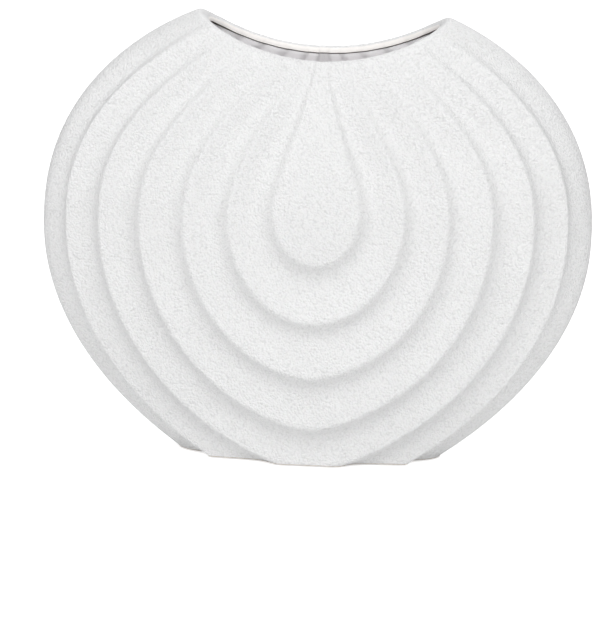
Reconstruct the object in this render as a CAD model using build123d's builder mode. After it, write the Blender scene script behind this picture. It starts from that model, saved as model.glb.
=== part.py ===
"""Flat oval table vase of white stoneware, rippled like a shell on both faces.

The body is one hollow casting with a glazed inside, and it stands on four felt pads.
X runs across the vase, Y from its front (-Y) to its back, and Z up from the surface it stands on.
"""

import os
from math import cos, hypot, pi, radians, sin

from build123d import *

# Outline of the body, seen from the front. Heights are measured from the underside of the clay.
body_width = 300.0
widest_height = 125.0
heart_height = 149.3
outline_dip = 33.0
gather_height = 251.5
gather_width = 75.7

# Depth of the body at its fullest, and where the ring lines gather above the mouth
body_depth = 98.0
gather_depth = 50.0

# Mouth: a scoop between two raised tips
mouth_width = 136.0
mouth_low_height = 222.8
mouth_dip = 22.0

# Clay and glaze
wall = 5.5
floor_thickness = 8.0
glaze_thickness = 0.8
glaze_set_down = 4.0

# Ripples: rings of one width over the face, each rising to a crest and dropping behind it
ring_count = 7
ripple_rise = 9.0
ripple_sharpness = 5
crest_rounding = 0.07
inner_ripple_share = 0.8

# Towards the mouth the ripples sink and their crests soften
fade_reach = 60.0
mouth_fade = 0.92
mouth_softening = 0.15

# How the ring lines bend between the gather line, their widest point and the bottom. Of three values
# in a row, the first holds at the heart, the second is the change up to the edge, and the third swells
# between them.
ring_spread = 0.104
ring_spread_power = 8
drop_lead = 0.269
drop_power = 2.95
gather_evenness = 0.05
gather_power = 3.0
shoulder_power = (1.05, 1.23, 2.06)
shoulder_draw = (2.91, -2.27, -1.45)
belly_power = (0.87, 0.615, 0.0)
depth_power = 1.6
mouth_fullness = 2.5

# Underside
foot_width = 18.0
foot_recess = 1.5
pad_diameter = 8.0
pad_thickness = 1.0
pad_edge = 0.3
pad_bearing = 42.0

# Sampling of the rippled face, along the ring lines and across them
line_steps = 50
ring_steps = 100
surface_tolerance = 0.08
slope_step = 1e-4
plane_tolerance = 1e-4

base_level = pad_thickness
os.makedirs("parts", exist_ok=True)

# The round scoop that cuts the mouth through both faces and leaves the tips standing
scoop_radius = ((mouth_width / 2) ** 2 + mouth_dip**2) / (2 * mouth_dip)
scoop_height = base_level + mouth_low_height + scoop_radius


def blend(values, ring):
    """A value that runs from the heart of the face to its edge, with a swell between them."""
    start, change, swell = values
    return start + change * ring + swell * ring * (1 - ring)


def shoulder_reach(gather, width, rise, ring):
    """How far out a ring line lies between the gather line (rise 1) and its widest point (rise 0)."""
    opened = (1 - rise ** blend(shoulder_power, ring)) ** blend(shoulder_draw, ring)
    return gather + (width - gather) * opened


def smooth_face(across, along, inset):
    """A point of the face without its ripples, and its ring number.

    across runs from the middle line (0) to the edge (1), along from the gather line (0) to the bottom (1).
    inset draws the whole face inwards, for the inside of the wall.
    """
    share = sin(pi / 2 * across)
    ring = share / (1 + ring_spread * (1 - share**ring_spread_power))
    seam_width = body_width / 2 - inset
    seam_gather = gather_width / 2 - inset
    seam_top = gather_height - inset
    gather = seam_gather * share * (gather_evenness + (1 - gather_evenness) * share**gather_power)
    widest = heart_height + (widest_height - heart_height) * ring
    drop = ring * (1 + drop_lead * (1 - ring**drop_power))
    lowest = heart_height - (heart_height + outline_dip - inset) * drop
    shoulder = seam_top - widest
    belly = widest - lowest
    turn = shoulder / (shoulder + pi / 2 * belly)
    depth, section = body_depth / 2 - inset, cos(pi / 2 * across)
    if along <= turn:
        rise = 1 - along / turn
        x = shoulder_reach(gather, seam_width * share, rise, ring)
        z = widest + shoulder * rise
        seam_rise = min(max((z - widest_height) / (seam_top - widest_height), 0.0), 1.0)
        seam = shoulder_reach(seam_gather, seam_width, seam_rise, 1)
        slot = max(1 - (x / seam) ** mouth_fullness, 0.0) ** (1 / mouth_fullness)
        section += (slot - section) * rise * (2 - rise)
        depth -= (body_depth - gather_depth) / 2 * rise**depth_power
    else:
        angle = pi / 2 * (along - turn) / (1 - turn)
        x = seam_width * share * max(cos(angle), 0.0) ** blend(belly_power, ring)
        z = widest - belly * sin(angle)
    return Vector(x, -depth * section, z + base_level), ring


def ripple_sum(rings):
    """The ripple's running sum outwards from the flat heart, which lets its crests be averaged round."""
    if rings < 1:
        return 0.0
    whole = int(rings // 1)
    part = rings - whole
    power = ripple_sharpness + 1
    return (whole - 1) * (1 / power - 0.5) + part * part / 2 - part + (1 - (1 - part) ** power) / power


def ripple(ring, rounding):
    """How far the face lies behind its crests at a ring number from 0 to 1, as a share of the rise."""
    rings = ring * ring_count
    if rings > ring_count - rounding:
        return rings - ring_count
    span = ripple_sum(rings + rounding) - ripple_sum(rings - rounding)
    return span / (2 * rounding)


def rippled_point(across, along, inset, rise_share):
    """A point of the face with its ripples cut into it, square to the smooth face."""
    point, ring = smooth_face(across, along, inset)
    low, high = max(across - slope_step, 0), min(across + slope_step, 1)
    sideways = smooth_face(high, along, inset)[0] - smooth_face(low, along, inset)[0]
    low, high = max(along - slope_step, 0), min(along + slope_step, 1)
    downwards = smooth_face(across, high, inset)[0] - smooth_face(across, low, inset)[0]
    normal = downwards.cross(sideways)
    outward = normal.normalized() if normal.length > 0 else Vector(0, -1, 0)
    below_mouth = hypot(point.X, point.Z - scoop_height) - scoop_radius
    nearness = 1 - min(max(below_mouth / fade_reach, 0.0), 1.0)
    depth = ripple_rise * rise_share * (1 - mouth_fade * nearness**2)
    moved = point + outward * (depth * ripple(ring, crest_rounding + mouth_softening * nearness))
    x = 0.0 if across == 0 or along == 1 else moved.X
    y = 0.0 if across == 1 else moved.Y
    z = gather_height - inset + base_level if along == 0 else moved.Z
    return Vector(x, y, z)


def rippled_quarter(inset, rise_share):
    """The solid between the right half of the front face and the two middle planes."""
    rows = [
        [rippled_point(i / ring_steps, j / line_steps, inset, rise_share) for i in range(ring_steps + 1)]
        for j in range(line_steps + 1)
    ]
    face = Face.make_surface_from_array_of_points(rows, tol=surface_tolerance, min_deg=3)
    axis_low, edge_top, middle_top = rows[-1][-1], rows[0][-1], rows[0][0]
    axis_top = Vector(0, 0, edge_top.Z)
    upright = Edge.make_line(axis_low, axis_top)
    to_edge = Edge.make_line(axis_top, edge_top)
    to_front = Edge.make_line(axis_top, middle_top)
    on_seam = face.edges().filter_by_position(Axis.Y, -plane_tolerance, plane_tolerance)
    on_middle = face.edges().filter_by_position(Axis.X, -plane_tolerance, plane_tolerance)
    on_top = face.edges().group_by(Axis.Z)[-1]
    seam_side = Face(Wire([*on_seam, upright, to_edge]))
    middle_side = Face(Wire([*on_middle, upright, to_front]))
    top_side = Face(Wire([*on_top, to_edge, to_front]))
    return Solid(Shell([face, seam_side, middle_side, top_side]))


def rippled_block(inset, rise_share):
    """The whole rippled form, all four quarters of it, before its mouth and its base are cut."""
    with BuildPart() as block:
        add(rippled_quarter(inset, rise_share))
        mirror(about=Plane.YZ)
        mirror(about=Plane.XZ)
    return block.part


def cut_above(block, height):
    """What is left of a block above a level plane."""
    with BuildPart() as upper:
        add(block)
        split(bisect_by=Plane.XY.offset(height), keep=Keep.TOP)
    return upper.part


# The hollow that the clay leaves, and the smaller hollow that the glaze leaves in it
floor_level = base_level + floor_thickness
clay_hollow = cut_above(rippled_block(wall, inner_ripple_share), floor_level)
glaze_floor = floor_level + glaze_thickness
glaze_hollow = cut_above(rippled_block(wall + glaze_thickness, inner_ripple_share), glaze_floor)


def mouth_scoop(set_down):
    """The scoop as a solid, cutting lower than the lip by the distance given."""
    with BuildPart() as scoop:
        with BuildSketch(Plane.XZ):
            with Locations((0, scoop_height)):
                Circle(scoop_radius + set_down)
        extrude(amount=body_depth, both=True)
    return scoop.part


# Fired body: one hollow casting, cut flat below, with a shallow recess inside its foot
with BuildPart() as vase_body:
    add(cut_above(rippled_block(0, 1), base_level))
    foot_size = vase_body.faces().sort_by(Axis.Z)[0].bounding_box().size
    with BuildSketch(Plane.XY.offset(base_level)):
        Ellipse(foot_size.X / 2 - foot_width, foot_size.Y / 2 - foot_width)
    extrude(amount=foot_recess, mode=Mode.SUBTRACT)
    add(clay_hollow, mode=Mode.SUBTRACT)
    add(mouth_scoop(0), mode=Mode.SUBTRACT)
vase_body.part.label = "vase_body"
export_step(vase_body.part, "parts/vase_body.step")

# Glaze: a thin smooth coat over the whole inside, ending in a line just below the lip
with BuildPart() as glaze_lining:
    add(clay_hollow)
    add(glaze_hollow, mode=Mode.SUBTRACT)
    add(mouth_scoop(glaze_set_down), mode=Mode.SUBTRACT)
glaze_lining.part.label = "glaze_lining"
export_step(glaze_lining.part, "parts/glaze_lining.step")

# Felt pads: four discs stuck to the foot, midway across its rim
pad_x = (foot_size.X - foot_width) / 2 * cos(radians(pad_bearing))
pad_y = (foot_size.Y - foot_width) / 2 * sin(radians(pad_bearing))
pad_corners = {"front_left": (-1, -1), "front_right": (1, -1), "back_left": (-1, 1), "back_right": (1, 1)}
for corner, (side, end) in pad_corners.items():
    with BuildPart() as foot_pad:
        with BuildSketch():
            with Locations((side * pad_x, end * pad_y)):
                Circle(pad_diameter / 2)
        extrude(amount=pad_thickness)
        fillet(foot_pad.edges().filter_by(GeomType.CIRCLE).sort_by(Axis.Z)[0], radius=pad_edge)
    foot_pad.part.label = f"foot_pad_{corner}"
    export_step(foot_pad.part, f"parts/foot_pad_{corner}.step")
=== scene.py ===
from math import cos, pi, radians, sin

import bmesh
import bpy
import numpy as np
from mathutils import Matrix, Vector, noise


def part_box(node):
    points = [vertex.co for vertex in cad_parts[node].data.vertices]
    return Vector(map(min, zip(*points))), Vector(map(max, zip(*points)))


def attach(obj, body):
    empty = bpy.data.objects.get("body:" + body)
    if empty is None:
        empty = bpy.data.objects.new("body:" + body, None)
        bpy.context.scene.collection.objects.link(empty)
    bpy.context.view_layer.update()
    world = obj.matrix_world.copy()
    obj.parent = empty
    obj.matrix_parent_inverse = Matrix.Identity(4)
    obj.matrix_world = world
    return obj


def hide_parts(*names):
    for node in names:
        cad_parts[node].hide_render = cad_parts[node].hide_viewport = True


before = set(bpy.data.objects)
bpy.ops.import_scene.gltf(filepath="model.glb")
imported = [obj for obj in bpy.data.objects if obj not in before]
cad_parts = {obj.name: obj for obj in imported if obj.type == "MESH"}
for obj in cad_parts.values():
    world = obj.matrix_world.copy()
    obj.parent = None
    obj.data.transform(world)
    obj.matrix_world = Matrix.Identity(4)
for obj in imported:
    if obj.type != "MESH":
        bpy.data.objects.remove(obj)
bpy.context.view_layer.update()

# Vase body. One hollow casting of white stoneware, slip cast in a two-part mould, with rings like a shell's
# that run from the mouth round a drop-shaped heart on both faces. A matt pebbly coat is sprayed over all but
# the inside; the inner edge of the lip is wiped smooth, and the ground foot is left bare.
body_low, body_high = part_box("vase_body")
foot_level = body_low[2]
half_width = body_high[0]
half_depth = body_high[1]

# Heights are above the underside of the clay
widest_height = 0.125
heart_height = 0.1493
outline_dip = 0.033
gather_height = 0.2515
gather_half_width = 0.03785
gather_half_depth = 0.025
mouth_half_width = 0.068
mouth_low_height = 0.2228
mouth_dip = 0.022
wall = 0.0055
clay_floor = 0.008

# Each ring rises to a crest and drops behind it
ring_count = 7
ripple_rise = 0.009
ripple_sharpness = 5
crest_rounding = 0.07
inner_ripple_share = 0.8

# Towards the mouth the ripples sink and their crests soften
fade_reach = 0.060
mouth_fade = 0.88
mouth_softening = 0.06

# How the ring lines bend between the gather line, their widest point and the bottom. Of three values in
# a row, the first holds at the heart, the second is the change up to the seam, and the third swells between.
ring_spread = 0.104
ring_spread_power = 8
drop_lead = 0.269
drop_power = 2.95
gather_evenness = 0.05
gather_power = 3.0
shoulder_power = (1.05, 1.23, 2.06)
shoulder_draw = (2.91, -2.27, -1.45)
belly_power = (0.87, 0.615, 0.0)
depth_power = 1.6
mouth_fullness = 2.5

# The step over which a slope is taken, and the least number that anything is divided by
slope_step = 1e-4
least_divisor = 1e-12

scoop_radius = (mouth_half_width**2 + mouth_dip**2) / (2 * mouth_dip)
scoop_height = foot_level + mouth_low_height + scoop_radius


def blend(values, ring):
    """A value that runs from the heart of the face to its seam, with a swell between them."""
    start, change, swell = values
    return start + change * ring + swell * ring * (1 - ring)


def shoulder_reach(gather, width, rise, ring):
    """How far out a ring line lies between the gather line (rise 1) and its widest point (rise 0)."""
    opened = (1 - rise ** blend(shoulder_power, ring)) ** blend(shoulder_draw, ring)
    return gather + (width - gather) * opened


def ring_at(across):
    """The share of the width and the ring number, from 0 to 1, of a ring line at a place across the face."""
    share = np.sin(pi / 2 * across)
    return share, share / (1 + ring_spread * (1 - share**ring_spread_power))


def smooth_face(across, along, inset):
    """Points of the front's right half without ripples, with their ring numbers.

    across runs from the middle line (0) to the seam (1), along from above the mouth (0) to the bottom (1).
    inset draws the whole face inwards, for the inside of the wall.
    """
    share, ring = ring_at(across)
    seam_width = half_width - inset
    seam_gather = gather_half_width - inset
    seam_top = gather_height - inset
    width = seam_width * share
    gather = seam_gather * share * (gather_evenness + (1 - gather_evenness) * share**gather_power)
    widest = heart_height + (widest_height - heart_height) * ring
    drop = ring * (1 + drop_lead * (1 - ring**drop_power))
    lowest = heart_height - (heart_height + outline_dip - inset) * drop
    shoulder = seam_top - widest
    belly = widest - lowest
    turn = shoulder / (shoulder + pi / 2 * belly)
    rise = np.clip(1 - along / turn, 0, 1)
    angle = pi / 2 * np.clip((along - turn) / np.maximum(1 - turn, least_divisor), 0, 1)
    round_off = np.maximum(np.cos(angle), 0) ** blend(belly_power, ring)
    above = along <= turn
    x = np.where(above, shoulder_reach(gather, width, rise, ring), width * round_off)
    z = np.where(above, widest + shoulder * rise, widest - belly * np.sin(angle))
    seam_rise = np.clip((z - widest_height) / (seam_top - widest_height), 0, 1)
    seam = shoulder_reach(seam_gather, seam_width, seam_rise, 1)
    slot = np.maximum(1 - (x / seam) ** mouth_fullness, 0) ** (1 / mouth_fullness)
    oval = np.cos(pi / 2 * across)
    section = oval + (slot - oval) * rise * (2 - rise)
    depth = half_depth - inset - (half_depth - gather_half_depth) * rise**depth_power
    points = np.stack(np.broadcast_arrays(x, -depth * section, z + foot_level), -1)
    return points, np.broadcast_to(ring, x.shape)


def ripple_sum(rings):
    """The ripple's running sum outwards from the flat heart, which lets its crests be averaged round."""
    whole = np.floor(rings)
    part = rings - whole
    power = ripple_sharpness + 1
    total = (whole - 1) * (1 / power - 1 / 2) + part * part / 2 - part
    total = total + (1 - (1 - part) ** power) / power
    return np.where(rings < 1, 0, total)


def ripple(rings, rounding):
    """How far the face lies behind its crests, as a share of the rise."""
    rings = np.minimum(rings, ring_count)
    span = ripple_sum(rings + rounding) - ripple_sum(rings - rounding)
    return np.where(rings > ring_count - rounding, rings - ring_count, span / (2 * rounding))


# Hand finishing leaves the rings a little uneven. The two faces differ, and the seam between them stays
# true. Each wave has its radians per metre across and upwards, and its start in radians.
wander = 0.012
wander_waves = ((31.0, 23.0, 0.6), (52.0, 41.0, 2.1), (17.0, 64.0, 4.4))
seam_hold_power = 6


def ring_wander(points, ring, face):
    """A small shift of the ring number over one face."""
    total = 0
    for sideways, upwards, phase in wander_waves:
        across_wave = np.sin(points[..., 0] * sideways + phase * face)
        total = total + across_wave * np.sin(points[..., 2] * upwards + phase)
    return wander * total * (1 - ring**seam_hold_power)


def rippled_face(across, along, inset, rise_share, side, face):
    """Points of one quarter with its ripples; side is -1 left or 1 right, face is -1 front or 1 back."""
    points, ring = smooth_face(across, along, inset)
    right = smooth_face(np.minimum(across + slope_step, 1), along, inset)[0]
    left = smooth_face(np.maximum(across - slope_step, 0), along, inset)[0]
    lower = smooth_face(across, np.minimum(along + slope_step, 1), inset)[0]
    upper = smooth_face(across, np.maximum(along - slope_step, 0), inset)[0]
    outward = np.cross(lower - upper, right - left)
    outward = outward / np.maximum(np.linalg.norm(outward, axis=-1, keepdims=True), least_divisor)
    mirror = np.array([side, -face, 1])
    points = points * mirror
    below_mouth = np.hypot(points[..., 0], points[..., 2] - scoop_height) - scoop_radius
    nearness = 1 - np.clip(below_mouth / fade_reach, 0, 1)
    rings = ring * ring_count + ring_wander(points, ring, face)
    depth = ripple_rise * rise_share * (1 - mouth_fade * nearness**2)
    depth = depth * ripple(rings, crest_rounding + mouth_softening * nearness)
    points = points + outward * mirror * depth[..., None]
    points[..., 0] = np.where((across == 0) | (along == 1), 0, points[..., 0])
    points[..., 1] = np.where(across == 1, 0, points[..., 1])
    return points


# The ring line that closes at a level is searched for between these places across the face, by halving
closing_search = (0.3, 0.9)
closing_rounds = 40


def closing_line(inset, rise_share, bottom, face):
    """Where across the face the ring line runs that just closes at the bottom level."""
    low, high = closing_search
    for _ in range(closing_rounds):
        middle = (low + high) / 2
        end = rippled_face(np.array([[middle]]), np.array([[1.0]]), inset, rise_share, 1, face)[0, 0]
        low, high = (middle, high) if end[2] > bottom else (low, middle)
    return (low + high) / 2


# Ring lines lie close together at the crests, where the form turns fastest, and wider on the slopes between
crest_crowding = 0.6
place_samples = 4001


def ring_lines(lines_per_ring, edge_lines, closings):
    """The ring lines in order round the vase: the front from left to right, then the back the other way.

    Each is a side, a face and a place across it. closings are the inset, the ripples' share and the level of
    the edges at which a ring line has to close.
    """
    steps = np.arange(lines_per_ring * (ring_count - 1)) / lines_per_ring
    part = steps % 1
    rings = np.floor(steps) + part - crest_crowding * np.sin(2 * pi * part) / (2 * pi)
    places = np.linspace(0, 1, place_samples)
    rings_there = ring_count * ring_at(places)[1]
    last_crest = np.interp(ring_count - 1, rings_there, places)
    drawn = np.concatenate([np.interp(rings, rings_there, places), np.linspace(last_crest, 1, edge_lines)])
    lines = []
    for face in (-1, 1):
        closing = [closing_line(*level, face) for level in closings]
        across = np.unique(np.concatenate([drawn, closing]))
        first_half = [(face, face, place) for place in across[::-1]]
        second_half = [(-face, face, place) for place in across[1:]]
        lines += (first_half + second_half)[:-1]
    return lines


# How suddenly the lip gets thinner at its tips, and how finely a ring line is followed before it is cut
tip_power = 9
line_samples = 900
cut_tolerance = 1e-9


def towards_tips(x, middle, tip):
    """A measure that holds along the mouth and turns into another one at its tips."""
    tipward = np.minimum(np.abs(x) / mouth_half_width, 1) ** tip_power
    return middle + (tip - middle) * tipward


def trimmed_line(line, mouth_drop, tip_drop, bottom):
    """The stretch of a ring line between the mouth's scoop and a bottom level, with its ends on the cuts."""
    drop = towards_tips(line[:, 0], mouth_drop, tip_drop)
    clear = np.hypot(line[:, 0], line[:, 2] - scoop_height) - scoop_radius - drop
    start = int(np.argmax(clear > 0))
    share = clear[start - 1] / (clear[start - 1] - clear[start])
    first = line[start - 1 : start] + share * (line[start] - line[start - 1])
    under = line[:, 2] < bottom - cut_tolerance
    if not under.any():
        return np.concatenate([first, line[start:]])
    end = int(np.argmax(under))
    share = (line[end - 1, 2] - bottom) / (line[end - 1, 2] - line[end, 2])
    last = line[end - 1 : end] + share * (line[end] - line[end - 1])
    return np.concatenate([first, line[start:end], last])


def even_points(line, steps):
    """Evenly spaced points along a line, both ends included."""
    reached = np.concatenate([[0], np.cumsum(np.linalg.norm(np.diff(line, axis=0), axis=1))])
    spots = np.linspace(0, reached[-1], steps + 1)
    return np.stack([np.interp(spots, reached, line[:, axis]) for axis in range(3)], -1)


def ring_sheet(lines, inset, rise_share, mouth_drop, tip_drop, bottom, steps):
    """Rows of evenly spaced points along the ring lines, from below the mouth's scoop to a bottom level.

    They start mouth_drop below the middle of the scoop and tip_drop below its ends.
    """
    along = np.linspace(0, 1, line_samples)[None, :]
    sheet = np.empty((len(lines), steps + 1, 3))
    for side, face in ((-1, -1), (-1, 1), (1, -1), (1, 1)):
        chosen = [i for i, line in enumerate(lines) if line[:2] == (side, face)]
        across = np.array([lines[i][2] for i in chosen])[:, None]
        quarter = rippled_face(across, along, inset, rise_share, side, face)
        for i, line in zip(chosen, quarter):
            sheet[i] = even_points(trimmed_line(line, mouth_drop, tip_drop, bottom), steps)
    return sheet


def curve_rows(start, start_pull, end_pull, end, steps):
    """Rows that run on a smooth curve from one edge row to another, both ends left out."""
    shares = np.linspace(0, 1, steps + 1)[1:-1, None, None]
    back = 1 - shares
    rows = back**3 * start + 3 * back**2 * shares * start_pull
    rows = rows + 3 * back * shares**2 * end_pull + shares**3 * end
    return rows.transpose(1, 0, 2)


def to_scoop(points):
    """The ways from points near the mouth to the middle line of its scoop."""
    return np.stack([-points[:, 0], 0 * points[:, 1], scoop_height - points[:, 2]], -1)


def brought_to(length, ways):
    """Ways of any length, each brought to the length given."""
    return length * ways / np.linalg.norm(ways, axis=1, keepdims=True)


# Points of a skin closer together than the first of these are joined, and a row that ends closer to a level
# than the second ends at it
join_distance = 2e-6
level_tolerance = 1e-6


class Skin:
    """A closed skin gathered from rows of points; each row carries a mark for its finish."""

    def __init__(self):
        self.points = []
        self.marks = []
        self.faces = []

    def add_points(self, points, mark=0.0):
        """Takes points in and returns their numbers in the same layout."""
        first = len(self.marks)
        flat = np.asarray(points, float).reshape(-1, 3)
        self.points.extend(flat.tolist())
        self.marks.extend(np.broadcast_to(mark, np.shape(points)[:-1]).reshape(-1).tolist())
        return np.arange(first, first + len(flat)).reshape(np.shape(points)[:-1])

    def add_band(self, numbers):
        """Faces between neighbouring rows of numbers, closed all the way round."""
        following = np.roll(numbers, -1, axis=0)
        quads = np.stack([numbers[:, :-1], following[:, :-1], following[:, 1:], numbers[:, 1:]], -1)
        self.faces.extend(quads.reshape(-1, 4).tolist())

    def add_cap(self, edge, middle, mark=0.0):
        """Faces that close a ring of numbers at a middle point."""
        centre = int(self.add_points(np.array([middle]), mark)[0])
        self.faces.extend([int(a), int(b), centre] for a, b in zip(edge, np.roll(edge, -1)))

    def piece(self, name, material, sharp_turn):
        """The finished object, with doubled points joined and its finish marks on its points."""
        mesh = bpy.data.meshes.new(name)
        mesh.from_pydata(self.points, [], self.faces)
        marks = mesh.attributes.new("finish", "FLOAT", "POINT")
        marks.data.foreach_set("value", self.marks)
        joined = bmesh.new()
        joined.from_mesh(mesh)
        bmesh.ops.remove_doubles(joined, verts=joined.verts, dist=join_distance)
        bmesh.ops.recalc_face_normals(joined, faces=joined.faces)
        joined.to_mesh(mesh)
        joined.free()
        mesh.shade_smooth()
        mesh.set_sharp_from_angle(angle=sharp_turn)
        mesh.materials.append(material)
        obj = bpy.data.objects.new(name, mesh)
        bpy.context.scene.collection.objects.link(obj)
        return obj


def level_edge(sheet, level):
    """Which ring lines of a sheet end at a bottom level, in order round it."""
    return np.flatnonzero(sheet[:, -1, 2] < level + level_tolerance)


# Lip: a rounded bead, thinner at the tips. Its inner half stands over the glaze, with a narrow groove
# under it that is painted dark brown as painted shade; the thinner tips bare more of it, a wider painted
# shadow there. The coat ends on that half, so many rows in from the crest and over so many rows.
lip_height = 0.0034
lip_tip_height = 0.0009
lip_inset = 0.0067
lip_steps = 14
lip_fullness = 0.58
groove_height = 0.0001
coat_end = 5.0
coat_end_blend = 2.5

# Foot: a ground rim with its edge eased, round a shallow oval recess
foot_easing = 0.0008
foot_rim = 0.018
foot_recess = 0.0015
recess_easing = 0.0006
easing_steps = 4
rim_shares = (0.25, 0.5, 0.75)
recess_shares = (0.7, 0.4)

# The groove mark paints the clay's inside dark as painted shade; it shows only in the gap above the glaze
foot_mark, coat_mark, lip_mark, groove_painted_shade_mark = -1.0, 0.0, 1.0, 2.0

# How closely the body's skin is woven
body_lines_per_ring = 20
body_edge_lines = 34
outside_steps = 220
inside_steps = 60

clay_floor_level = foot_level + clay_floor
foot_edge_level = foot_level + foot_easing
body_closings = [(0, 1, foot_edge_level), (wall, inner_ripple_share, clay_floor_level)]
body_lines = ring_lines(body_lines_per_ring, body_edge_lines, body_closings)
outside = ring_sheet(body_lines, 0, 1, lip_height, lip_tip_height, foot_edge_level, outside_steps)
groove_drops = (lip_height + groove_height, lip_tip_height + groove_height)
inside = ring_sheet(body_lines, wall, inner_ripple_share, *groove_drops, clay_floor_level, inside_steps)
lip_edge = (lip_inset, inner_ripple_share, lip_height, lip_tip_height)
lip_inner = ring_sheet(body_lines, *lip_edge, clay_floor_level, steps=1)[:, 0]

lip_outer = outside[:, 0]
lip_middle = (lip_outer + lip_inner) / 2
lip_across = (lip_inner - lip_outer) / 2
lip_rise = towards_tips(lip_middle[:, :1], lip_height, lip_tip_height)
lip_up = brought_to(lip_rise, to_scoop(lip_middle))
lip_crest = lip_middle + lip_up
outer_climb = brought_to(lip_rise, outside[:, 0] - outside[:, 1])
outer_pull = lip_outer + lip_fullness * outer_climb
inner_pull = lip_inner + lip_fullness * lip_up
crest_pull = lip_fullness * lip_across
outer_half = curve_rows(lip_outer, outer_pull, lip_crest - crest_pull, lip_crest, lip_steps)
inner_half = curve_rows(lip_crest, lip_crest + crest_pull, inner_pull, lip_inner, lip_steps)

body_skin = Skin()
outside_numbers = body_skin.add_points(outside[:, ::-1], coat_mark)
outer_lip_numbers = body_skin.add_points(outer_half, coat_mark)
inner_lip_marks = np.clip((np.arange(lip_steps) - coat_end) / coat_end_blend, 0, 1) * lip_mark
inner_lip_rows = np.concatenate([lip_crest[:, None], inner_half], axis=1)
inner_lip_numbers = body_skin.add_points(inner_lip_rows, inner_lip_marks[None, :])
lip_end_numbers = body_skin.add_points(lip_inner[:, None], lip_mark)
# The inside of the clay carries the groove mark: painted shade where it shows under the lip
inside_numbers = body_skin.add_points(inside, groove_painted_shade_mark)
body_rows = [outside_numbers, outer_lip_numbers, inner_lip_numbers, lip_end_numbers, inside_numbers]
body_skin.add_band(np.concatenate(body_rows, axis=1))

floor_edge = level_edge(inside, clay_floor_level)
body_skin.add_cap(inside_numbers[floor_edge, -1], (0, 0, clay_floor_level), groove_painted_shade_mark)

foot_edge = level_edge(outside, foot_edge_level)
foot_outline = outside[foot_edge, -1]
foot_reach = np.hypot(foot_outline[:, 0], foot_outline[:, 1])[:, None]
recess_length = foot_outline[:, 0].max() - foot_rim
recess_depth = foot_outline[:, 1].max() - foot_rim
bearing = np.arctan2(foot_outline[:, 1], foot_outline[:, 0])
recess_reach = (1 / np.hypot(np.cos(bearing) / recess_length, np.sin(bearing) / recess_depth))[:, None]
foot_direction = np.stack([np.cos(bearing), np.sin(bearing)], -1)


def foot_row(reach, height):
    """One row of the underside: a reach along each bearing, at one height."""
    return np.concatenate([foot_direction * reach, np.full((len(bearing), 1), height)], axis=1)


foot_rows = []
for step in range(1, easing_steps + 1):
    turn = pi / 2 * step / easing_steps
    reach = foot_reach - foot_easing * (1 - cos(turn))
    foot_rows.append(foot_row(reach, foot_edge_level - foot_easing * sin(turn)))
flat_reach = foot_reach - foot_easing
for share in rim_shares:
    foot_rows.append(foot_row(flat_reach + share * (recess_reach - flat_reach), foot_level))
for step in range(easing_steps + 1):
    turn = pi / 2 * step / easing_steps
    reach = recess_reach - recess_easing * sin(turn)
    foot_rows.append(foot_row(reach, foot_level + recess_easing * (1 - cos(turn))))
recess_top = foot_level + foot_recess
foot_rows.append(foot_row(recess_reach - recess_easing, recess_top))
for share in recess_shares:
    foot_rows.append(foot_row(recess_reach * share, recess_top))
foot_numbers = body_skin.add_points(np.stack(foot_rows, axis=1), foot_mark)
foot_edge_numbers = outside_numbers[foot_edge, 0][:, None]
body_skin.add_band(np.concatenate([foot_edge_numbers, foot_numbers], axis=1))
body_skin.add_cap(foot_numbers[:, -1], (0, 0, recess_top), foot_mark)


class Finish:
    """A material's node tree, with short calls for the nodes that the finishes here are made of."""

    def __init__(self, name):
        self.material = bpy.data.materials.new(name)
        self.material.use_nodes = True
        self.nodes = self.material.node_tree.nodes
        self.shader = self.nodes["Principled BSDF"]
        self.place = self.nodes.new("ShaderNodeTexCoord").outputs["Object"]

    def link(self, output, target):
        """Joins an output to an input."""
        self.material.node_tree.links.new(output, target)

    def noise(self, scale, detail, roughness):
        """A cloudy pattern; scale is in features per metre."""
        node = self.nodes.new("ShaderNodeTexNoise")
        node.inputs["Scale"].default_value = scale
        node.inputs["Detail"].default_value = detail
        node.inputs["Roughness"].default_value = roughness
        self.link(self.place, node.inputs["Vector"])
        return node.outputs["Fac"]

    def pebbles(self, scale, smoothness):
        """Rounded grains; scale is in grains per metre."""
        node = self.nodes.new("ShaderNodeTexVoronoi")
        node.feature = "SMOOTH_F1"
        node.inputs["Scale"].default_value = scale
        node.inputs["Smoothness"].default_value = smoothness
        self.link(self.place, node.inputs["Vector"])
        return node.outputs["Distance"]

    def math(self, kind, first, second):
        """One sum of two outputs or numbers."""
        node = self.nodes.new("ShaderNodeMath")
        node.operation = kind
        for socket, value in zip(node.inputs, (first, second)):
            if isinstance(value, (int, float)):
                socket.default_value = value
            else:
                self.link(value, socket)
        return node.outputs[0]

    def remap(self, value, low, high, new_low=0, new_high=1):
        """A value moved from one range to another and held inside it."""
        node = self.nodes.new("ShaderNodeMapRange")
        self.link(value, node.inputs["Value"])
        for socket, number in zip(list(node.inputs)[1:5], (low, high, new_low, new_high)):
            socket.default_value = number
        return node.outputs["Result"]

    def mix(self, share, first, second):
        """A colour between two colours or outputs."""
        node = self.nodes.new("ShaderNodeMix")
        node.data_type = "RGBA"
        self.link(share, node.inputs["Factor"])
        colours = [socket for socket in node.inputs if socket.type == "RGBA"]
        for socket, value in zip(colours, (first, second)):
            if isinstance(value, tuple):
                socket.default_value = (*value, 1)
            else:
                self.link(value, socket)
        return next(socket for socket in node.outputs if socket.type == "RGBA")

    def bump(self, height, distance):
        """Raises the surface by a height pattern; distance is in metres."""
        node = self.nodes.new("ShaderNodeBump")
        node.inputs["Distance"].default_value = distance
        node.inputs["Strength"].default_value = 1.0
        self.link(height, node.inputs["Height"])
        self.link(node.outputs["Normal"], self.shader.inputs["Normal"])


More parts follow.
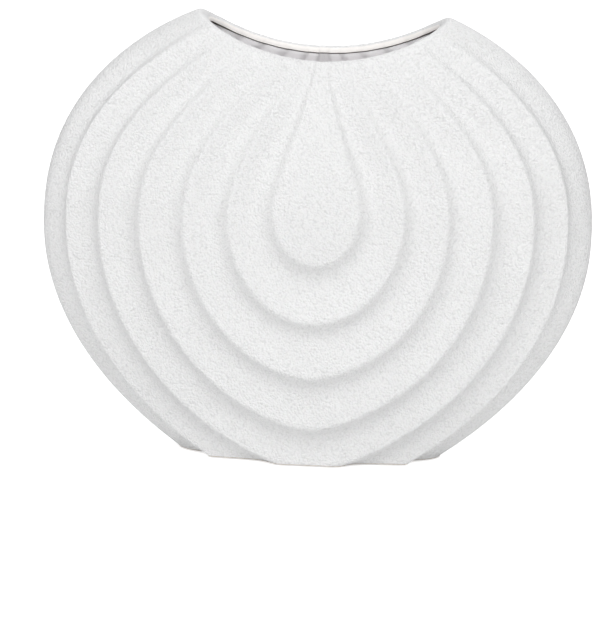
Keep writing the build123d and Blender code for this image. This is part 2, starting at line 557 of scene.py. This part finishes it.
# Grains of the sprayed coat are a little over a millimetre across; finer grit lies between them
grain_scale = 920
grain_smoothness = 0.6
grain_height = 0.0006
grit_scale = 1800
grit_height_share = 0.35
cloud_scale = 18
coat_colour = (0.84, 0.84, 0.84)
coat_shade = (0.82, 0.82, 0.82)
coat_roughness = (0.72, 0.9)
# The coat is painted darker in the pits between its grains: painted shade in the hollows of the grain relief
pit_painted_shade_colour = (0.73, 0.73, 0.73)

# The wiped lip, the groove under it and the ground foot have next to no grain
lip_colour = (0.97, 0.94, 0.91)
lip_smoothness = 0.3
# The groove colours are painted shade: a dark brown-black standing in for the shadow in the gap under the
# lip
groove_painted_shade_colour = (0.22, 0.17, 0.15)
groove_painted_shade_dark = (0.14, 0.11, 0.10)
bare_clay_colour = (0.66, 0.61, 0.55)
bare_clay_shade = (0.56, 0.51, 0.45)
least_grain = 0.08

stoneware = Finish("pebbly_stoneware")
mark = stoneware.nodes.new("ShaderNodeAttribute")
mark.attribute_name = "finish"
lip_share = stoneware.remap(mark.outputs["Fac"], low=0.2, high=0.9)
# Painted shade: the groove mark picks the dark groove colours for the gap under the lip
groove_painted_shade_share = stoneware.remap(mark.outputs["Fac"], low=1.2, high=1.6)
bare_share = stoneware.remap(mark.outputs["Fac"], low=-0.4, high=-0.8)
coat_share = stoneware.math("SUBTRACT", stoneware.math("SUBTRACT", 1.0, lip_share), bare_share)
grains = stoneware.pebbles(grain_scale, grain_smoothness)
grit = stoneware.noise(grit_scale, detail=2.0, roughness=0.6)
clouds = stoneware.noise(cloud_scale, detail=3.0, roughness=0.55)
coat = stoneware.mix(stoneware.remap(clouds, low=0.35, high=0.65), coat_colour, coat_shade)
# Painted shade: darker colour where the grains' relief is lowest
coat = stoneware.mix(stoneware.remap(grains, low=0.45, high=0.85), coat, pit_painted_shade_colour)
speckle = stoneware.remap(grit, low=0.35, high=0.65)
finish = stoneware.mix(lip_share, coat, lip_colour)
finish = stoneware.mix(groove_painted_shade_share, finish, stoneware.mix(speckle, groove_painted_shade_colour, groove_painted_shade_dark))
finish = stoneware.mix(bare_share, finish, stoneware.mix(speckle, bare_clay_colour, bare_clay_shade))
stoneware.link(finish, stoneware.shader.inputs["Base Color"])
roughness = stoneware.remap(grit, 0.3, 0.7, *coat_roughness)
roughness = stoneware.math("SUBTRACT", roughness, stoneware.math("MULTIPLY", lip_share, lip_smoothness))
stoneware.link(roughness, stoneware.shader.inputs["Roughness"])
relief = stoneware.math("SUBTRACT", stoneware.math("MULTIPLY", grit, grit_height_share), grains)
grain_share = stoneware.math("MULTIPLY", coat_share, 1 - least_grain)
relief = stoneware.math("MULTIPLY", relief, stoneware.math("ADD", grain_share, least_grain))
stoneware.bump(relief, grain_height)
stoneware.shader.inputs["Specular IOR Level"].default_value = 0.3

sharp_turn = radians(60)
vase_body = body_skin.piece("vase_body_dressed", stoneware.material, sharp_turn)
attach(vase_body, "root")
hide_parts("vase_body")

# Glaze lining. A smooth satin coat poured in, swilled round the hollow and tipped out again before firing.
# It covers the whole inside and ends in a rounded line a little below the lip.
glaze_thickness = 0.0008
glaze_set_down = 0.004
glaze_gap = 0.00005
glaze_floor_level = clay_floor_level + glaze_thickness
glaze_back_level = clay_floor_level + glaze_gap
glaze_back_inset = wall + glaze_gap
glaze_face_inset = wall + glaze_thickness

lining_lines_per_ring = 10
lining_edge_lines = 18
lining_steps = 90
edge_steps = 6
round_pull = 4 / 3

back_closing = (glaze_back_inset, inner_ripple_share, glaze_back_level)
face_closing = (glaze_face_inset, inner_ripple_share, glaze_floor_level)
lining_lines = ring_lines(lining_lines_per_ring, lining_edge_lines, [back_closing, face_closing])
edge_drop = glaze_set_down + glaze_thickness / 2
edge_drops = (inner_ripple_share, edge_drop, edge_drop)
lining_back = ring_sheet(lining_lines, glaze_back_inset, *edge_drops, glaze_back_level, lining_steps)
lining_face = ring_sheet(lining_lines, glaze_face_inset, *edge_drops, glaze_floor_level, lining_steps)
back_end = lining_back[:, 0]
face_end = lining_face[:, 0]
edge_pull = round_pull * brought_to(glaze_thickness / 2, to_scoop((back_end + face_end) / 2))
rounded_edge = curve_rows(back_end, back_end + edge_pull, face_end + edge_pull, face_end, edge_steps)

lining_skin = Skin()
lining_rows = np.concatenate([lining_back[:, ::-1], rounded_edge, lining_face], axis=1)
lining_numbers = lining_skin.add_points(lining_rows)
lining_skin.add_band(lining_numbers)
back_edge = level_edge(lining_back, glaze_back_level)
lining_skin.add_cap(lining_numbers[back_edge, 0], (0, 0, glaze_back_level))
face_edge = level_edge(lining_face, glaze_floor_level)
lining_skin.add_cap(lining_numbers[face_edge, -1], (0, 0, glaze_floor_level))

glaze_colour = (0.97, 0.955, 0.965)
glaze_pooled = (0.95, 0.93, 0.94)
glaze_roughness = (0.28, 0.42)
run_scale = 26
run_height = 0.0004
pinhole_scale = 900
pinhole_height_share = 0.2

glaze = Finish("satin_glaze")
runs = glaze.noise(run_scale, detail=3.0, roughness=0.5)
pinholes = glaze.noise(pinhole_scale, detail=1.0, roughness=0.4)
glaze_tone = glaze.mix(glaze.remap(runs, low=0.35, high=0.7), glaze_colour, glaze_pooled)
glaze.link(glaze_tone, glaze.shader.inputs["Base Color"])
glaze.link(glaze.remap(runs, 0.3, 0.7, *glaze_roughness), glaze.shader.inputs["Roughness"])
glaze.bump(glaze.math("ADD", glaze.math("MULTIPLY", pinholes, pinhole_height_share), runs), run_height)

glaze_lining = lining_skin.piece("glaze_lining_dressed", glaze.material, sharp_turn)
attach(glaze_lining, "root")
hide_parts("glaze_lining")

# Felt pads. Four thin discs punched from pressed wool felt, stuck under the rim of the foot with their own
# adhesive. They keep the bare clay off the furniture; their cut edges are soft and a little hairy.
pad_edge = 0.0003
pad_segments = 72
pad_edge_steps = 4
pad_under_shares = (0.3, 0.65)
pad_top_share = 0.5
pad_sharp_turn = radians(70)

# The fuzz of the cut edge: its depth, how fast it changes round the pad and from row to row, and how far
# the pattern moves on from pad to pad, per metre between them
pad_fuzz = 0.00008
fuzz_round = 9
fuzz_row = 0.7
fuzz_shift = 400

felt_grey = (0.62, 0.60, 0.575)
felt_dark = (0.44, 0.425, 0.405)
felt_roughness = (0.88, 1.0)
fibre_scale = 2600
fibre_height = 0.0003
mat_scale = 420

felt = Finish("pressed_felt")
fibres = felt.noise(fibre_scale, detail=4.0, roughness=0.7)
mats = felt.noise(mat_scale, detail=3.0, roughness=0.6)
felt_tone = felt.mix(felt.remap(fibres, low=0.3, high=0.7), felt_dark, felt_grey)
felt.link(felt_tone, felt.shader.inputs["Base Color"])
felt.link(felt.remap(mats, 0.3, 0.7, *felt_roughness), felt.shader.inputs["Roughness"])
felt.bump(felt.math("ADD", fibres, mats), fibre_height)
felt.shader.inputs["Sheen Weight"].default_value = 0.4
felt.shader.inputs["Sheen Roughness"].default_value = 0.6

for node in ("foot_pad_front_left", "foot_pad_front_right", "foot_pad_back_left", "foot_pad_back_right"):
    pad_low, pad_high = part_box(node)
    pad_centre = (pad_low + pad_high) / 2
    pad_radius = (pad_high[0] - pad_low[0]) / 2
    pad_profile = [(share * (pad_radius - pad_edge), pad_low[2]) for share in pad_under_shares]
    for step in range(pad_edge_steps + 1):
        turn = pi / 2 * step / pad_edge_steps
        reach = pad_radius - pad_edge * (1 - sin(turn))
        pad_profile.append((reach, pad_low[2] + pad_edge * (1 - cos(turn))))
    pad_profile.append((pad_radius, (pad_low[2] + pad_high[2]) / 2))
    pad_profile.append((pad_radius, pad_high[2]))
    pad_profile.append((pad_radius * pad_top_share, pad_high[2]))
    pad_rows = np.empty((pad_segments, len(pad_profile), 3))
    for i in range(pad_segments):
        turn = 2 * pi * i / pad_segments
        for j, (reach, height) in enumerate(pad_profile):
            round_pad = cos(turn) * fuzz_round + pad_centre[0] * fuzz_shift
            spot = Vector((round_pad, sin(turn) * fuzz_round, j * fuzz_row))
            reach -= pad_fuzz * (1 + noise.noise(spot)) * reach / pad_radius
            pad_rows[i, j] = (pad_centre[0] + reach * cos(turn), pad_centre[1] + reach * sin(turn), height)
    pad_skin = Skin()
    pad_numbers = pad_skin.add_points(pad_rows)
    pad_skin.add_band(pad_numbers)
    pad_skin.add_cap(pad_numbers[:, 0], (pad_centre[0], pad_centre[1], pad_low[2]))
    pad_skin.add_cap(pad_numbers[:, -1], (pad_centre[0], pad_centre[1], pad_high[2]))
    pad = pad_skin.piece(node + "_dressed", felt.material, pad_sharp_turn)
    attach(pad, "root")
    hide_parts(node)

# Floor. A plain white studio table that runs out of sight in every direction.
# It takes the vase's soft shadow, and shows paler to the camera than the light alone would make it.
floor_half = 4.0
floor_colour = (0.92, 0.92, 0.92)
floor_glow = 0.7

floor_mesh = bpy.data.meshes.new("studio_floor")
floor_turns = ((-1, -1), (1, -1), (1, 1), (-1, 1))
floor_corners = [(x * floor_half, y * floor_half, 0) for x, y in floor_turns]
floor_mesh.from_pydata(floor_corners, [], [(0, 1, 2, 3)])
studio_floor = bpy.data.objects.new("studio_floor", floor_mesh)
bpy.context.scene.collection.objects.link(studio_floor)

white_card = bpy.data.materials.new("white_card")
white_card.use_nodes = True
card_nodes = white_card.node_tree.nodes
card_links = white_card.node_tree.links
card = card_nodes["Principled BSDF"]
card.inputs["Base Color"].default_value = (*floor_colour, 1)
card.inputs["Roughness"].default_value = 0.9
card.inputs["Emission Color"].default_value = (1, 1, 1, 1)


def seen_directly(tree):
    """1 for rays from the camera, mirrors or glass, 0 for the rays that light the object."""
    path = tree.nodes.new("ShaderNodeLightPath")
    total = path.outputs["Is Camera Ray"]
    for ray in ("Is Glossy Ray", "Is Transmission Ray"):
        node = tree.nodes.new("ShaderNodeMath")
        node.operation = "MAXIMUM"
        tree.links.new(total, node.inputs[0])
        tree.links.new(path.outputs[ray], node.inputs[1])
        total = node.outputs[0]
    return total


glow = card_nodes.new("ShaderNodeMath")
glow.operation = "MULTIPLY"
glow.inputs[1].default_value = floor_glow
card_links.new(seen_directly(white_card.node_tree), glow.inputs[0])
card_links.new(glow.outputs[0], card.inputs["Emission Strength"])
floor_mesh.materials.append(white_card)

# Studio light. Two big softboxes above the vase, in front to the left and right, with a weak one low in
# front and one behind. Pale walls all round fill the rest, and show as plain white to the camera.
room_colour = (0.985, 0.985, 1.0)
room_strength = 0.19
lamp_distance = 2.2
lamp_size = 1.6
studio_middle = Vector((0, 0, 0.12))

world = bpy.data.worlds.new("white_studio")
world.use_nodes = True
bpy.context.scene.world = world
world_nodes = world.node_tree.nodes
world_links = world.node_tree.links
room = world_nodes["Background"]
room.inputs["Color"].default_value = (*room_colour, 1)
room.inputs["Strength"].default_value = room_strength
backdrop = world_nodes.new("ShaderNodeBackground")
backdrop.inputs["Color"].default_value = (1, 1, 1, 1)
backdrop.inputs["Strength"].default_value = 1.0
choose = world_nodes.new("ShaderNodeMixShader")
world_links.new(seen_directly(world.node_tree), choose.inputs["Fac"])
world_links.new(room.outputs[0], choose.inputs[1])
world_links.new(backdrop.outputs[0], choose.inputs[2])
world_links.new(choose.outputs[0], world_nodes["World Output"].inputs["Surface"])


def soft_lamp(name, azimuth, elevation, power):
    """A square softbox that faces the vase; azimuth 0 is in front of it."""
    lamp = bpy.data.lights.new(name, "AREA")
    lamp.shape = "SQUARE"
    lamp.size = lamp_size
    lamp.energy = power
    obj = bpy.data.objects.new(name, lamp)
    turn, lift = radians(azimuth), radians(elevation)
    away = Vector((sin(turn) * cos(lift), -cos(turn) * cos(lift), sin(lift)))
    obj.location = studio_middle + away * lamp_distance
    obj.rotation_mode = "QUATERNION"
    obj.rotation_quaternion = away.to_track_quat("Z", "Y")
    bpy.context.scene.collection.objects.link(obj)


soft_lamp("left_softbox", azimuth=-35, elevation=42, power=23)
soft_lamp("right_softbox", azimuth=35, elevation=42, power=21)
soft_lamp("front_fill", azimuth=0, elevation=18, power=3.5)
soft_lamp("back_softbox", azimuth=165, elevation=48, power=20)

# Camera. A long lens a little above the vase, at the photograph's viewing angle and slight tilt.
# The point it aims at, on the middle line of the vase, lies at aim_pixel in the picture.
image_width = 599
image_height = 628
aim_pixel = (316.2, 248.0)
aim_height = 0.1156
focal_pixels = 2493
camera_distance = 1.367
camera_azimuth = radians(1.3)
camera_elevation = radians(12.5)
camera_roll = radians(2.0)

camera = bpy.data.cameras.new("studio_camera")
camera.lens = camera.sensor_width * focal_pixels / image_height
camera_object = bpy.data.objects.new("studio_camera", camera)
bpy.context.scene.collection.objects.link(camera_object)
bpy.context.scene.camera = camera_object
aim = Vector((0, 0, foot_level + aim_height))
level_view = Vector((-sin(camera_azimuth), cos(camera_azimuth), 0))
view_direction = cos(camera_elevation) * level_view - sin(camera_elevation) * Vector((0, 0, 1))
straight = view_direction.to_track_quat("-Z", "Y")
roll = Matrix.Rotation(camera_roll, 3, "Z")
aim_right = aim_pixel[0] - image_width / 2
aim_up = image_height / 2 - aim_pixel[1]
aim_in_view = roll @ Vector((aim_right, aim_up, -focal_pixels))
offset = aim_in_view.rotation_difference(Vector((0, 0, -1)))
camera_object.rotation_mode = "QUATERNION"
camera_object.rotation_quaternion = straight @ offset @ roll.to_quaternion()
camera_object.location = aim - camera_distance * view_direction
bpy.context.scene.view_settings.view_transform = "Standard"
